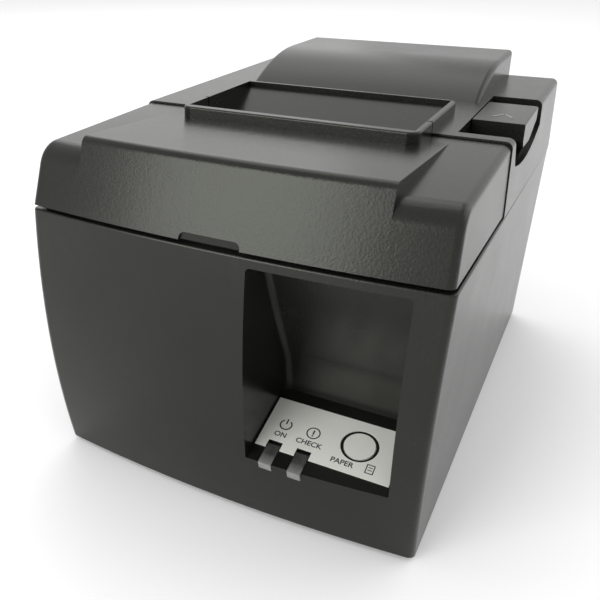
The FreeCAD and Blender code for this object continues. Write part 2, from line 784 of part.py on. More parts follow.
def front_cover():
    """The cover over the print head: two shoulders, a raised crown and the front half of the exit rim."""
    under = "parting_height - wall"
    fall = "deck_height - shoulder_fall"
    brow = "deck_height + crown_rise"
    shoulder = [
        (f"{FRONT} - wall", under),
        (MID_FRONT, under),
        (MID_FRONT, "deck_height - deck_step"),
        (f"{FRONT} - wall", fall),
    ]
    shoulder_in = [
        (FRONT, f"{under} - wall"),
        ("mid_seam + wall", f"{under} - wall"),
        ("mid_seam + wall", "deck_height - deck_step - wall"),
        (FRONT, f"{fall} - wall"),
    ]
    crown = [
        (f"{FRONT} - wall", "deck_height - 4 * wall"),
        ("crown_start", "deck_height - 4 * wall"),
        ("crown_start", "deck_height - deck_step"),
        (f"{FRONT} - wall", brow),
    ]
    crown_in = [
        (FRONT, "deck_height - 5 * wall"),
        ("crown_start - wall", "deck_height - 5 * wall"),
        ("crown_start - wall", "deck_height - deck_step - wall"),
        (FRONT, f"{brow} - wall"),
    ]
    shoulder_line = value("deck_height") - 2 * value("shoulder_fall")
    side_line = value("deck_width") / 2 - value("wall")
    crown_start = value("crown_start")
    crown_half = "(body_width / 2 - crown_side)"
    everywhere = ("-body_width", "body_width")
    outer = common("shoulder_block", slope_form("shoulder_slope", 0),
                   taper("front_sides", under, "deck_height + wall", "body_width / 2 - cover_inset",
                         "deck_width / 2 - cover_inset", f"{FRONT} - wall", MID_FRONT),
                   side_prism("shoulder_prism", shoulder, everywhere))
    outer = rounded(
        "shoulder_rolled", outer,
        ("shoulder_round", lambda p, run: abs(run.x) > ALONG and p.y < crown_start and p.z > shoulder_line),
        ("corner_round", lambda p, run: abs(p.x) > side_line and p.z > shoulder_line and abs(run.y) > ALONG),
        ("corner_round", lambda p, run: abs(p.x) > side_line and p.y < crown_start and abs(run.z) > STEEP))
    raised = common("crown_block", slope_form("crown_slope", 0),
                    side_prism("crown_prism", crown, around("0", crown_half)))
    raised = rounded("crown_rolled", raised, (
        "crown_round", lambda p, run: abs(run.x) > ALONG and p.y < 2 * crown_start
        and p.z > value("deck_height")))
    inside = fuse("front_inside",
                  common("shoulder_hollow", slope_form("shoulder_slope_in", "wall"),
                         taper("front_sides_in", f"{under} - wall", "deck_height + wall",
                               "body_width / 2 - cover_inset - wall", "deck_width / 2 - cover_inset - wall",
                               FRONT, "mid_seam + wall"),
                         side_prism("shoulder_prism_in", shoulder_in, everywhere)),
                  common("crown_hollow", slope_form("crown_slope_in", "wall"),
                         side_prism("crown_prism_in", crown_in, around("0", f"({crown_half} - wall)"))))
    shell = cut("front_shell", fuse("front_outer", outer, raised), inside)
    rim = [
        ("rim_front", "rim_height"),
        ("rim_front", "deck_height - wall"),
        ("rim_front + lip_depth", "exit_height + 2 * wall"),
        (MID_FRONT, "exit_height + 2 * wall"),
        (MID_FRONT, "rim_height"),
    ]
    well = [
        ("rim_front + lip_wall", "rim_height + wall"),
        ("rim_front + lip_wall", "rim_height - wall"),
        ("mid_seam - exit_half", "exit_height"),
        ("mid_seam + wall", "exit_height"),
        ("mid_seam + wall", "rim_height + wall"),
    ]
    lip = soft_rim("rim_front_soft", side_prism("rim_front_prism", rim, around("0", "rim_width / 2")),
                   "rim_front")
    notch_top = f"{parting_at(FRONT)} + parting_gap / 2 + notch_height"
    notch = block("notch_block", around("0", "notch_width / 2"),
                  (f"{FRONT} - wall", f"{FRONT} + cover_setback + notch_depth"),
                  (f"{notch_top} - 4 * notch_height", notch_top))
    notch = rounded("finger_notch", notch, (
        "notch_round", lambda p, run: abs(run.y) > ALONG and p.z > value("parting_height")))
    body = cut("front_cut", fuse("front_with_rim", shell, lip),
               side_prism("well_front_prism", well, around("0", "(rim_width / 2 - rim_wall)")),
               notch)
    node(common("front_cover", body, above_seam("front_seam", "parting_gap / 2")), "front_cover")


def soft_rim(name, rim, end):
    """Round the corners and top edges of one half of the exit rim, away from the seam between the halves."""
    top = value("rim_height")
    half = value("rim_width") / 2
    corners = rounded(name + "_corners", rim, (
        "rim_round", lambda p, run: (abs(run.z) > STEEP and abs(p.y - value(end)) < NEAR
                                     and abs(abs(p.x) - half) < NEAR)))
    return rounded(name, corners, (
        "edge_round", lambda p, run: (abs(p.z - top) < NEAR and (abs(p.y - value(end)) < NEAR
                                                                 or abs(abs(p.x) - half) < NEAR))))


def dome_form(name, inset):
    """The rise over the paper roll, moved inwards by an inset."""
    reach = "(dome_crest - dome_start)"
    radius = f"({reach} * {reach} + dome_rise * dome_rise) / (2 * dome_rise)"
    span = around("0", f"(dome_width / 2 - ({inset}))")
    foot = "deck_height - 2 * wall"
    bow = rod(name + "_bow", "x", f"{radius} - ({inset})",
              (span[0], "dome_crest", f"body_height - {radius}"), f"dome_width - 2 * ({inset})")
    front = block(name + "_front", span, ("dome_start", "dome_crest"), (foot, "body_height"))
    flat = block(name + "_flat", span, ("dome_crest", f"{REAR} - ({inset})"),
                 (foot, f"body_height - ({inset})"))
    return fuse(name, common(name + "_rise", bow, front), flat)


def rear_cover():
    """The hinged cover: deck, roll dome, rear half of the exit rim, lever recess, hinge knuckles."""
    under = "parting_height - 4 * wall"
    behind = value("mid_seam") + value("wall")
    deck = taper("rear_sides", under, "deck_height", "body_width / 2", "deck_width / 2", MID_REAR, REAR)
    deck = rounded(
        "rear_edges", deck,
        ("corner_round", lambda p, run: p.y > behind and abs(run.z) > STEEP),
        ("corner_round", lambda p, run: p.y > behind and abs(run.z) < FLAT
         and p.z > value("deck_height") - NEAR))
    crest = rounded("dome_rounded", dome_form("dome", "0"), (
        "dome_round", lambda p, run: p.z > value("deck_height") + value("dome_round")
        and abs(p.x) > value("dome_width") / 2 - NEAR))
    hollow = fuse("rear_hollow", dome_form("dome_hollow", "wall"),
                  taper("rear_sides_in", f"{under} - wall", "deck_height - wall", "body_width / 2 - wall",
                        "deck_width / 2 - wall", "mid_seam - wall", f"{REAR} - wall"))
    shell = cut("rear_shell", fuse("rear_outer", deck, crest), hollow)
    rim = [
        (MID_REAR, "rim_height"),
        ("rim_rear", "rim_height"),
        ("rim_rear", "deck_height - wall / 2"),
        (MID_REAR, "exit_height - rim_wall"),
    ]
    well = [
        ("mid_seam - wall", "rim_height + wall"),
        ("rim_rear - rim_wall", "rim_height + wall"),
        ("rim_rear - rim_wall", "rim_height - rim_wall"),
        (MID_REAR, "exit_height"),
        ("mid_seam - wall", "exit_height"),
    ]
    hand = [
        ("recess_front", "deck_height + wall"),
        ("recess_front", "deck_height"),
        ("recess_front + recess_slope", "recess_floor"),
        ("recess_rear", "recess_floor"),
        ("recess_rear", "deck_height + wall"),
    ]
    heel = [
        ("hinge_y - knuckle_radius / 3", "parting_height - 6 * wall"),
        (f"{REAR} + wall", "parting_height - 6 * wall"),
        (f"{REAR} + wall", "hinge_z"),
        ("hinge_y + knuckle_radius", "hinge_z - knuckle_radius / 3"),
        ("hinge_y + knuckle_radius / 2.2", "hinge_z - knuckle_radius * 0.9"),
        ("hinge_y - knuckle_radius / 3", "hinge_z - knuckle_radius"),
    ]
    recess = common("recess_block", deck,
                    block("recess_box", ("recess_inner - rim_wall", "body_width"),
                          ("recess_front - rim_wall", "recess_rear + rim_wall"),
                          ("recess_floor - wall", "deck_height")))
    scoop = common("scoop",
                   rod("scoop_round", "x", "scoop_radius",
                       ("body_width / 2 - 3 * wall", "scoop_middle",
                        "scoop_bottom + scoop_radius"), "6 * wall"),
                   side_prism("scoop_limit", hand, ("body_width / 2 - 2 * wall", "body_width / 2 + wall")))
    lugs = []
    for span in LUGS:
        lugs.append(block("lever_lug", span, around("lever_pivot_y", "lug_half"),
                          ("lever_pivot_z - hub_radius", "recess_floor - wall / 2")))
    knuckles = []
    notches = []
    for side in (1, -1):
        span = mirrored_span(side, "knuckle_inner", "knuckle_inner + knuckle_length")
        knuckles.append(rod("knuckle", "x", "knuckle_radius", (span[0], "hinge_y", "hinge_z"),
                            "knuckle_length"))
        knuckles.append(block("knuckle_root", span, ("hinge_y", f"{REAR} - wall / 2"),
                              ("hinge_z", "hinge_z + 2 * knuckle_radius")))
        gap = mirrored_span(side, "knuckle_inner - ear_length - 3 * slack", "knuckle_inner")
        notches.append(block("ear_notch", gap, ("hinge_y - 2 * knuckle_radius", f"{REAR} + wall"),
                             ("parting_height - 6 * wall", "hinge_z + knuckle_radius + 3 * slack")))
    edge = soft_rim("rim_rear_soft", side_prism("rim_rear_prism", rim, around("0", "rim_width / 2")),
                    "rim_rear")
    lug_room = block("lug_room", ("recess_inner", RECESS_OUTER), ("0", "4 * lever_pivot_y"),
                     ("hook_height", "deck_height"))
    body = common("rear_above_seam", fuse("rear_body", shell, recess, edge, *lugs),
                  fuse("rear_keep", above_seam("rear_seam", "rear_gap - parting_gap / 2"), lug_room))
    body = cut("rear_heeled", body, side_prism("heel_cut", heel, ("-body_width", "body_width")), *notches)
    body = fuse("rear_hinged", body, *knuckles)
    holes = [
        side_prism("well_rear_prism", well, around("0", "(rim_width / 2 - rim_wall)")),
        side_prism("recess_space", hand, ("recess_inner", RECESS_OUTER)),
        scoop,
        block("arm_slot", around("arm_middle", "arm_width"),
              ("lever_pivot_y - slot_front", "lever_pivot_y + slot_rear"),
              ("recess_floor - 2 * wall", "recess_floor + wall")),
        rod("lug_bore", "x", "lever_shaft_radius + fit", ("recess_inner", "lever_pivot_y", "lever_pivot_z"),
            "recess_width - 1.5 * wall"),
        rod("knuckle_bore", "x", "hinge_pin_radius + fit",
            ("-knuckle_inner - knuckle_length", "hinge_y",
             "hinge_z"), "2 * (knuckle_inner + knuckle_length)"),
    ]
    node(cut("rear_cover", body, *holes), "rear_cover")


def lever_works():
    """The opening lever with its shaft, return spring and the stud that its hook meets."""
    plate_low = f"{LEVER_TOP} - lever_plate"
    scoop_shape = [
        ("lever_front", LEVER_TOP),
        ("lever_rear", LEVER_TOP),
        ("lever_rear", plate_low),
        ("lever_front + 1.4 * lever_plate", plate_low),
        ("lever_front + lever_plate", "lever_skirt + lever_plate"),
        ("lever_front + lever_plate", "lever_skirt"),
        ("lever_tail + lever_plate", "lever_skirt + tail_lift"),
        ("lever_tail", "lever_skirt + tail_rise"),
        ("lever_tail", "lever_skirt + tail_rise + tail_thick"),
        ("lever_front", "lever_skirt + lever_plate"),
    ]
    cheek_shape = [
        ("lever_front", LEVER_TOP),
        ("lever_rear", LEVER_TOP),
        ("lever_rear", "deck_height - cheek_rear"),
        ("lever_rear - cheek_run", "deck_height - cheek_drop"),
        ("lever_rear - cheek_foot", "deck_height - cheek_low - tail_lift"),
        ("lever_front + lever_plate", "deck_height - cheek_low"),
        ("lever_front", "deck_height - cheek_low + lever_plate"),
    ]
    arm_shape = [
        ("lever_pivot_y - lug_half", f"{LEVER_TOP} - lever_plate / 2"),
        ("lever_pivot_y + lug_half", f"{LEVER_TOP} - lever_plate / 2"),
        ("lever_pivot_y + arm_half", "lever_pivot_z"),
        ("lever_pivot_y + arm_toe", "hook_height + hook_thick"),
        ("stud_y - stud_radius - lever_gap", "hook_height + hook_thick"),
        ("stud_y - stud_radius - lever_gap", "hook_height"),
        ("lever_pivot_y - arm_toe", "hook_height"),
        ("lever_pivot_y - arm_half", "lever_pivot_z"),
    ]
    pivot = ("lever_pivot_y", "lever_pivot_z")
    inside = f"{RECESS_OUTER} - lever_gap"
    outer = "deck_width / 2 - lever_shy"
    arm_span = around("arm_middle", "arm_width / 2")
    scoop = side_prism("lever_scoop", scoop_shape, ("recess_inner + lever_gap", inside))
    cheek = side_prism("lever_cheek", cheek_shape, (f"{inside} - lever_gap", outer))
    cheek_face = value("deck_width") / 2 - value("lever_shy")
    cheek = rounded("lever_cheek_soft", cheek, (
        "edge_round", lambda p, run: abs(p.x - cheek_face) < value("lever_shy")
        and p.z > value("deck_height") - NEAR))
    arm = side_prism("lever_arm", arm_shape, arm_span)
    hub = rod("lever_hub", "x", "hub_radius", (arm_span[0], *pivot), "arm_width")
    bore = rod("lever_bore", "x", "lever_shaft_radius + fit", ("arm_middle - arm_width", *pivot),
               "2 * arm_width")
    node(cut("lever", fuse("lever_solid", scoop, cheek, arm, hub), bore), "lever")
    node(rod("lever_shaft", "x", "lever_shaft_radius", (LUGS[0][0], *pivot),
             "2 * lug_gap + lug_thick + lug_thin"), "lever_shaft")
    coil = rod("spring_outer", "x", "lever_shaft_radius + spring_wall", (f"{arm_span[1]} + slack", *pivot),
               "lug_gap - arm_width / 2 - 2 * slack")
    eye = rod("spring_inner", "x", "lever_shaft_radius + slack", ("arm_middle", *pivot), "2 * arm_width")
    node(cut("lever_spring", coil, eye), "lever_spring")
    node(rod("latch_stud", "x", "stud_radius", ("arm_middle - stud_reach", "stud_y", STUD_Z),
             "arm_inset - 2.2 * wall + stud_reach"), "latch_stud")
    pins = []
    for side in (1, -1):
        span = mirrored_span(side, "knuckle_inner - ear_length - slack", "knuckle_inner + knuckle_length")
        pins.append(rod("hinge_pin", "x", "hinge_pin_radius", (span[0], "hinge_y", "hinge_z"),
                        "ear_length + slack + knuckle_length"))
    node(group("hinge_pins", pins), "hinge_pins")


def control_panel():
    """The sheet on the alcove floor, the feed button, two light guides and the small board beneath."""
    sheet = panel_block("label_sheet", ("label_left", "label_right"), ("label_front", "label_rear"),
                        ("0", "label_thick"))
    cuts = [panel_rod("label_ring", "button_radius + button_ring", "button_x", "button_along",
                      ("-wall", "wall"))]
    embedded = "-board_depth - board_thick / 2"
    lamps = []
    for across, name in LIGHT_GUIDES:
        cuts.append(panel_block(name + "_notch", around(across, "(guide_width / 2 + slack)"),
                                ("0", "guide_slot"), ("-wall", "wall")))
        grip = around(across, "guide_width / 2")
        bar = panel_block(name + "_bar", grip, ("-guide_proud", "guide_rear"),
                          ("-guide_thick", "label_thick"))
        leg = panel_block(name + "_leg", grip, ("-guide_proud", "guide_leg"), ("-guide_drop", "0"))
        stem = panel_block(name + "_stem", grip, ("guide_rear - guide_stem", "guide_rear"),
                           ("-board_depth + board_parts + slack", "0"))
        node(fuse(name, bar, leg, stem), name)
        lamps.append(panel_block(name + "_lamp", around(across, "lamp_half"),
                                 ("guide_rear - guide_stem + slack", "guide_rear - slack"),
                                 (embedded, "-board_depth + board_parts")))
    node(cut("panel_label", sheet, *cuts), "panel_label")
    back = "-alcove_wall - button_flange"
    cap = panel_rod("button_cap", "button_radius", "button_x", "button_along", (back, "label_thick"))
    flange = panel_rod("button_rim", "button_radius + button_flange", "button_x", "button_along",
                       (back, "-alcove_wall - slack / 2"))
    stem = panel_rod("button_stem", "stem_radius", "button_x", "button_along",
                     ("-board_depth + board_parts", "-alcove_wall - button_flange / 2"))
    node(fuse("feed_button", cap, flange, stem), "feed_button")
    board = panel_block("small_board", ("alcove_left", "alcove_right - post_radius"),
                        ("guide_rear - guide_stem", "label_rear"),
                        ("-board_depth - board_thick", "-board_depth"))
    switch = panel_block("tact_switch", around("button_x", "tact_half"), around("button_along", "tact_half"),
                         (embedded, "-board_depth + board_parts - button_travel - tact_gap"))
    node(fuse("panel_board", board, switch, *lamps), "panel_board")


def floor_works():
    """The floor plate with its feet and screws."""
    plate = block("floor_sheet", ("-floor_half", "floor_half"), ("floor_front", f"{REAR} - wall - slack"),
                  ("foot_height", FLOOR_TOP))
    holes = []
    feet = []
    screws = []
    for side in (1, -1):
        across = f"{side} * boss_x"
        for row in SCREW_ROWS:
            holes.append(rod("floor_hole", "z", "screw_radius + fit", (across, row, "0"), "boss_height"))
            head = rod("screw_head", "z", "screw_head_radius", (across, row, "foot_height - screw_head"),
                       "screw_head")
            shank = rod("screw_shank", "z", "screw_radius", (across, row, "foot_height - screw_head / 2"),
                        "boss_height - foot_height - 2 * boss_roof")
            screws.append(fuse("screw", head, shank))
        for row in ("foot_front", "foot_rear"):
            feet.append(rod("foot", "z", "foot_radius", (f"{side} * foot_x", row, "0"), "foot_height"))
    node(cut("base_plate", plate, *holes), "base_plate")
    node(group("rubber_feet", feet), "rubber_feet")
    node(group("base_screws", screws), "base_screws")


def inner_frame():
    """The sheet frame that carries the motor, the gears, the print head and the cutter."""
    profile = [
        ("frame_front", FLOOR_TOP),
        ("frame_rear", FLOOR_TOP),
        ("frame_rear", "frame_low"),
        ("frame_step", "frame_low"),
        ("frame_step", "frame_top"),
        ("frame_front", "frame_top"),
    ]
    cheeks = []
    for side in (1, -1):
        cheeks.append(side_prism("frame_cheek", profile,
                                 mirrored_span(side, "frame_half - plate_thick", "frame_half")))
    across = ("-frame_half", "frame_half")
    front = block("frame_wall", across, ("frame_front", "frame_front + plate_thick"),
                  (FLOOR_TOP, "frame_low"))
    foot = block("frame_flange", across, ("frame_front", "frame_front + frame_foot"),
                 (FLOOR_TOP, f"{FLOOR_TOP} + plate_thick"))
    start = "-2 * frame_half"
    holes = [
        rod("motor_hole", "x", "2 * pin_radius", (start, MOTOR_Y, MOTOR_Z), "2 * frame_half"),
        rod("idler_hole", "x", "pin_radius + fit", (start, "idler_y", IDLER_Z), "2 * frame_half"),
        rod("head_hole", "x", "pin_radius + fit", (start, "head_pivot_y", "head_pivot_z"), "4 * frame_half"),
    ]
    node(cut("main_frame", fuse("frame_solid", *cheeks, front, foot), *holes), "main_frame")


def toothed(name, axis, radius, start, length, teeth):
    """A gear drawn just inside its pitch circle: a rim with square gaps between its teeth."""
    rim = rod(name + "_rim", axis, f"{radius} - gear_shy", start, length)
    count = int(value(teeth))
    spin = {"x": FreeCAD.Vector(1, 0, 0), "z": FreeCAD.Vector(0, 0, 1)}[axis]
    root = f"{radius} * tooth_root"
    wide = f"{radius} * {math.pi / count:.4f}"
    gaps = []
    for number in range(count):
        angle = 360.0 * number / count
        gap = new("Part::Box", name + "_gap")
        gap.Placement = FreeCAD.Placement(FreeCAD.Vector(), FreeCAD.Rotation(spin, angle))
        out = f"{root} * cos({angle}) + {wide} / 2 * sin({angle})"
        up = f"{root} * sin({angle}) - {wide} / 2 * cos({angle})"
        if axis == "x":
            bind(gap, Length=f"{length} + 2 * wall", Width=radius, Height=wide)
            place(gap, f"{start[0]} - wall", f"{start[1]} + {out}", f"{start[2]} + {up}")
        else:
            bind(gap, Length=radius, Width=wide, Height=f"{length} + 2 * wall")
            place(gap, f"{start[0]} + {out}", f"{start[1]} + {up}", f"{start[2]} - wall")
        gaps.append(gap)
    return cut(name + "_teeth", rim, *gaps)


def feed_works():
    """The feed motor, its pinion, the idler and the platen that the rear cover carries."""
    inner = "-frame_half + plate_thick"
    can = rod("motor_can", "x", "motor_radius", (inner, MOTOR_Y, MOTOR_Z), "motor_length")
    socket = rod("motor_socket", "x", "pin_radius + fit", (f"{inner} - wall", MOTOR_Y, MOTOR_Z),
                 "axle_depth + wall")
    node(cut("feed_motor", can, socket), "feed_motor")
    motor_axis = ("gear_plane", MOTOR_Y, MOTOR_Z)
    pinion = toothed("pinion", "x", "pinion_radius", motor_axis, "gear_thick", "pinion_teeth")
    axle = rod("pinion_axle", "x", "pin_radius", motor_axis, "gear_thick + axle_depth")
    node(fuse("motor_pinion", pinion, axle), "motor_pinion")
    idler = toothed("idler", "x", "idler_radius", ("gear_plane", "idler_y", IDLER_Z), "gear_thick",
                    "idler_teeth")
    idler_bore = rod("idler_bore", "x", "pin_radius + fit", ("2 * gear_plane", "idler_y", IDLER_Z),
                     "2 * frame_half")
    node(cut("idler_gear", idler, idler_bore), "idler_gear")
    pin = rod("idler_pin", "x", "pin_radius", ("gear_plane - slack - stop_thick / 2", "idler_y", IDLER_Z),
              "-gear_plane - frame_half + plate_thick + slack + stop_thick / 2")
    stop = rod("idler_stop", "x", "2 * pin_radius", ("gear_plane - slack - stop_thick", "idler_y", IDLER_Z),
               "stop_thick")
    node(fuse("idler_stud", pin, stop), "idler_stud")
    platen = ("platen_y", "platen_z")
    through = ("-body_width", *platen)
    node(rod("platen_shaft", "x", "platen_shaft_radius", ("gear_plane - stop_thick", *platen),
             "-gear_plane + stop_thick + platen_length / 2 + shaft_end"), "platen_shaft")
    bore = rod("platen_bore", "x", "platen_shaft_radius", through, "2 * body_width")
    rubber = rod("rubber_solid", "x", "platen_radius", ("-platen_length / 2", *platen), "platen_length")
    node(cut("platen_rubber", rubber, bore), "platen_rubber")
    gear = toothed("platen_wheel", "x", "platen_gear_radius", ("gear_plane", *platen), "gear_thick",
                   "platen_teeth")
    node(cut("platen_gear", gear, bore), "platen_gear")
    roof = "exit_height - rim_wall - 2 * slack"
    roof_slope = "(deck_height - wall / 2 - exit_height + rim_wall) / (rim_rear - mid_seam - seam_gap / 2)"
    roof_end = f"{roof} + (bracket_reach - seam_gap / 2) * {roof_slope}"
    bracket = [
        (MID_REAR, "platen_z - bracket_low"),
        ("platen_y + bracket_half", "platen_z - bracket_low"),
        ("mid_seam + bracket_reach", f"{roof_end} - bracket_tip"),
        ("mid_seam + bracket_reach", roof_end),
        (MID_REAR, roof),
    ]
    near = "platen_length / 2 + bush_gap"
    seat = rod("bush_seat", "x", "platen_shaft_radius + bush_wall", through, "2 * body_width")
    run = rod("bush_run", "x", "platen_shaft_radius + fit", through, "2 * body_width")
    brackets = []
    bushes = []
    for side in (1, -1):
        span = mirrored_span(side, near, f"{near} + wall")
        brackets.append(side_prism("platen_bracket", bracket, span))
        sleeve = rod("bush_sleeve", "x", "platen_shaft_radius + bush_wall", (span[0], *platen), "wall")
        bushes.append(cut("bush", sleeve, run))
    bar_low = "platen_z + platen_radius + bar_rise"
    bar = block("platen_bar", around("0", f"({near} + wall)"), ("platen_y", "platen_y + bar_depth"),
                (bar_low, f"{bar_low} + bar_thick"))
    node(cut("platen_frame", fuse("platen_frame_solid", *brackets, bar), seat), "platen_frame")
    node(group("platen_bushes", bushes), "platen_bushes")
    blade_low = f"{BLADE_LOW} + blade_thick + slack"
    node(block("fixed_blade", around("0", "blade_width / 2"), (f"{MID_REAR} - blade_lap", "platen_y"),
               (blade_low, f"{blade_low} + blade_thick")), "fixed_blade")


def print_head():
    """The line head on its cooling plate, the shaft that it tilts on and the springs behind."""
    across = around("0", "head_width / 2")
    face = "platen_y - platen_radius - slack"
    back = f"{face} - head_thick"
    node(block("print_head", across, (back, face), ("head_bottom + head_setback", "head_top")), "print_head")
    plate = block("sink_plate", across, (f"{back} - sink_thick", back), ("head_bottom", "head_top"))
    arms = []
    springs = []
    for side in (1, -1):
        span = mirrored_span(side, "head_width / 2 - sink_arm_width", "head_width / 2")
        arms.append(block("sink_arm", span, ("head_pivot_y - 2 * pin_radius", f"{face} - sink_thick"),
                          ("head_pivot_z - 2 * pin_radius", "head_bottom + sink_thick")))
        springs.append(rod("head_spring", "y", "head_spring_radius",
                           (f"{side} * head_width / 4", "frame_front + plate_thick",
                            "frame_low - 1.2 * head_spring_radius"),
                           f"{back} - sink_thick - 2 * slack - frame_front - plate_thick"))
    bore = rod("sink_bore", "x", "pin_radius + fit", ("-body_width", "head_pivot_y", "head_pivot_z"),
               "2 * body_width")
    node(cut("head_sink", fuse("sink_solid", plate, *arms), bore), "head_sink")
    node(rod("head_shaft", "x", "pin_radius", ("-frame_half - stop_thick", "head_pivot_y", "head_pivot_z"),
             "2 * (frame_half + stop_thick)"), "head_shaft")
    node(group("head_springs", springs), "head_springs")


def cutter_works():
    """The paper cutter: its bed, the sliding blade with a rack, the pinion and the motor."""
    bed_top = "frame_top + plate_thick"
    run = ("cutter_front", "cutter_rear")
    bed = block("bed", around("0", "cutter_width / 2"), run, ("frame_top", bed_top))
    rails = []
    for side in (1, -1):
        span = mirrored_span(side, "blade_width / 2 + slack", "blade_width / 2 + slack + rail_width")
        rails.append(block("rail", span, run, (bed_top, f"{bed_top} + 4 * blade_thick")))
    bed_hole = rod("bed_hole", "z", "2 * pin_radius", ("0", "cutter_gear_y", "0"), "2 * body_height")
    node(cut("cutter_frame", fuse("bed_solid", bed, *rails), bed_hole), "cutter_frame")
    gear_low = f"{BLADE_LOW} + blade_thick + cutter_gear_rise"
    gear_top = f"{gear_low} + cutter_gear_thick"
    sheet = block("blade_sheet", around("0", "(blade_width / 2 - slack)"), ("blade_front", "blade_rear"),
                  (BLADE_LOW, f"{BLADE_LOW} + blade_thick"))
    rack = block("blade_rack", ("cutter_gear_radius + slack", "cutter_gear_radius + rack_width"),
                 ("blade_front", "blade_rear - rack_setback"), (f"{BLADE_LOW} + blade_thick / 2", gear_top))
    slot = block("blade_slot", around("0", "2 * pin_radius"),
                 ("cutter_gear_y - blade_travel - 2 * pin_radius", "cutter_gear_y + 2 * pin_radius"),
                 ("0", "body_height"))
    node(cut("cutter_blade", fuse("blade_solid", sheet, rack), slot), "cutter_blade")
    gear = toothed("cutter_wheel", "z", "cutter_gear_radius", ("0", "cutter_gear_y", gear_low),
                   "cutter_gear_thick", "cutter_teeth")
    axle = rod("cutter_axle", "z", "pin_radius", ("0", "cutter_gear_y", "frame_top - axle_depth"),
               f"{gear_top} - frame_top + axle_depth")
    node(fuse("cutter_gear", gear, axle), "cutter_gear")
    can = rod("cutter_can", "z", "can_radius", ("0", "cutter_gear_y", "frame_top - can_length"), "can_length")
    socket = rod("cutter_socket", "z", "pin_radius + fit",
                 ("0", "cutter_gear_y", "frame_top - axle_depth - stop_thick"), "axle_depth + 2 * stop_thick")
    node(cut("cutter_motor", can, socket), "cutter_motor")


def paper_bucket():
    """The trough that the paper roll drops into, and the sensor beside it."""
    half = "roll_width / 2"
    skin = f"{half} + bucket_wall"
    outer = fuse("bucket_outer",
                 rod("bucket_round", "x", "roll_radius + bucket_wall", (f"-({skin})", "roll_y", "roll_z"),
                     f"2 * ({skin})"),
                 block("bucket_box", around("0", f"({skin})"),
                       around("roll_y", "(roll_radius + bucket_wall)"),
                       ("roll_z", "bucket_top")))
    inner = fuse("bucket_inner",
                 rod("roll_round", "x", "roll_radius", (f"-{half}", "roll_y", "roll_z"), "roll_width"),
                 block("roll_box", around("0", half), around("roll_y", "roll_radius"),
                       ("roll_z", "2 * bucket_top")))
    above = block("bucket_above", ("-body_width", "body_width"), (FRONT, REAR),
                  ("bucket_top", "2 * body_height"))
    legs = []
    for side in (1, -1):
        legs.append(block("bucket_leg", mirrored_span(side, half, skin), around("roll_y", "leg_half"),
                          (FLOOR_TOP, "roll_z / 2")))
    node(cut("paper_bucket", fuse("bucket_solid", outer, *legs), inner, above), "paper_bucket")
    node(block("paper_sensor", (skin, f"{skin} + sensor_thick"),
               ("roll_y + sensor_y", "roll_y + sensor_y + sensor_length"),
               ("roll_z / 2", "roll_z / 2 + sensor_height")), "paper_sensor")


def boards():
    """The main board on its stand-offs, the power supply and the switch that feels the cover."""
    low = f"{FLOOR_TOP} + board_rise"
    rear = f"{REAR} - 2 * wall - slack"
    embedded = f"{low} + board_thick / 2"
    board = block("board_sheet", ("-board_half", "board_half"), ("board_front", rear), (low, BOARD_TOP))
    chip = block("board_chip", around("chip_x", "chip_side / 2"), around("chip_y", "chip_side / 2"),
                 (embedded, f"{BOARD_TOP} + chip_rise"))
    plug = block("board_plug", around("plug_x", "plug_length / 2"),
                 ("board_front + plug_setback", "board_front + plug_setback + plug_depth"),
                 (embedded, f"{BOARD_TOP} + plug_rise"))
    node(fuse("main_board", board, chip, plug), "main_board")
    stands = []
    for side in (1, -1):
        for row in ("board_front + 2 * standoff_radius", f"{rear} - 2 * standoff_radius"):
            stands.append(rod("standoff", "z", "standoff_radius",
                              (f"{side} * (board_half - 2 * standoff_radius)", row, FLOOR_TOP), "board_rise"))
    node(group("board_standoffs", stands), "board_standoffs")
    node(block("power_supply", ("-floor_half + 2 * floor_gap", "supply_inner"),
               ("supply_front", "supply_rear"),
               (FLOOR_TOP, "supply_height")), "power_supply")
    node(block("cover_switch", ("frame_half", "frame_half + lid_switch"),
               ("frame_rear - lid_switch_setback - lid_switch_length", "frame_rear - lid_switch_setback"),
               ("frame_low - lid_switch - lid_switch_height", "frame_low - lid_switch")), "cover_switch")


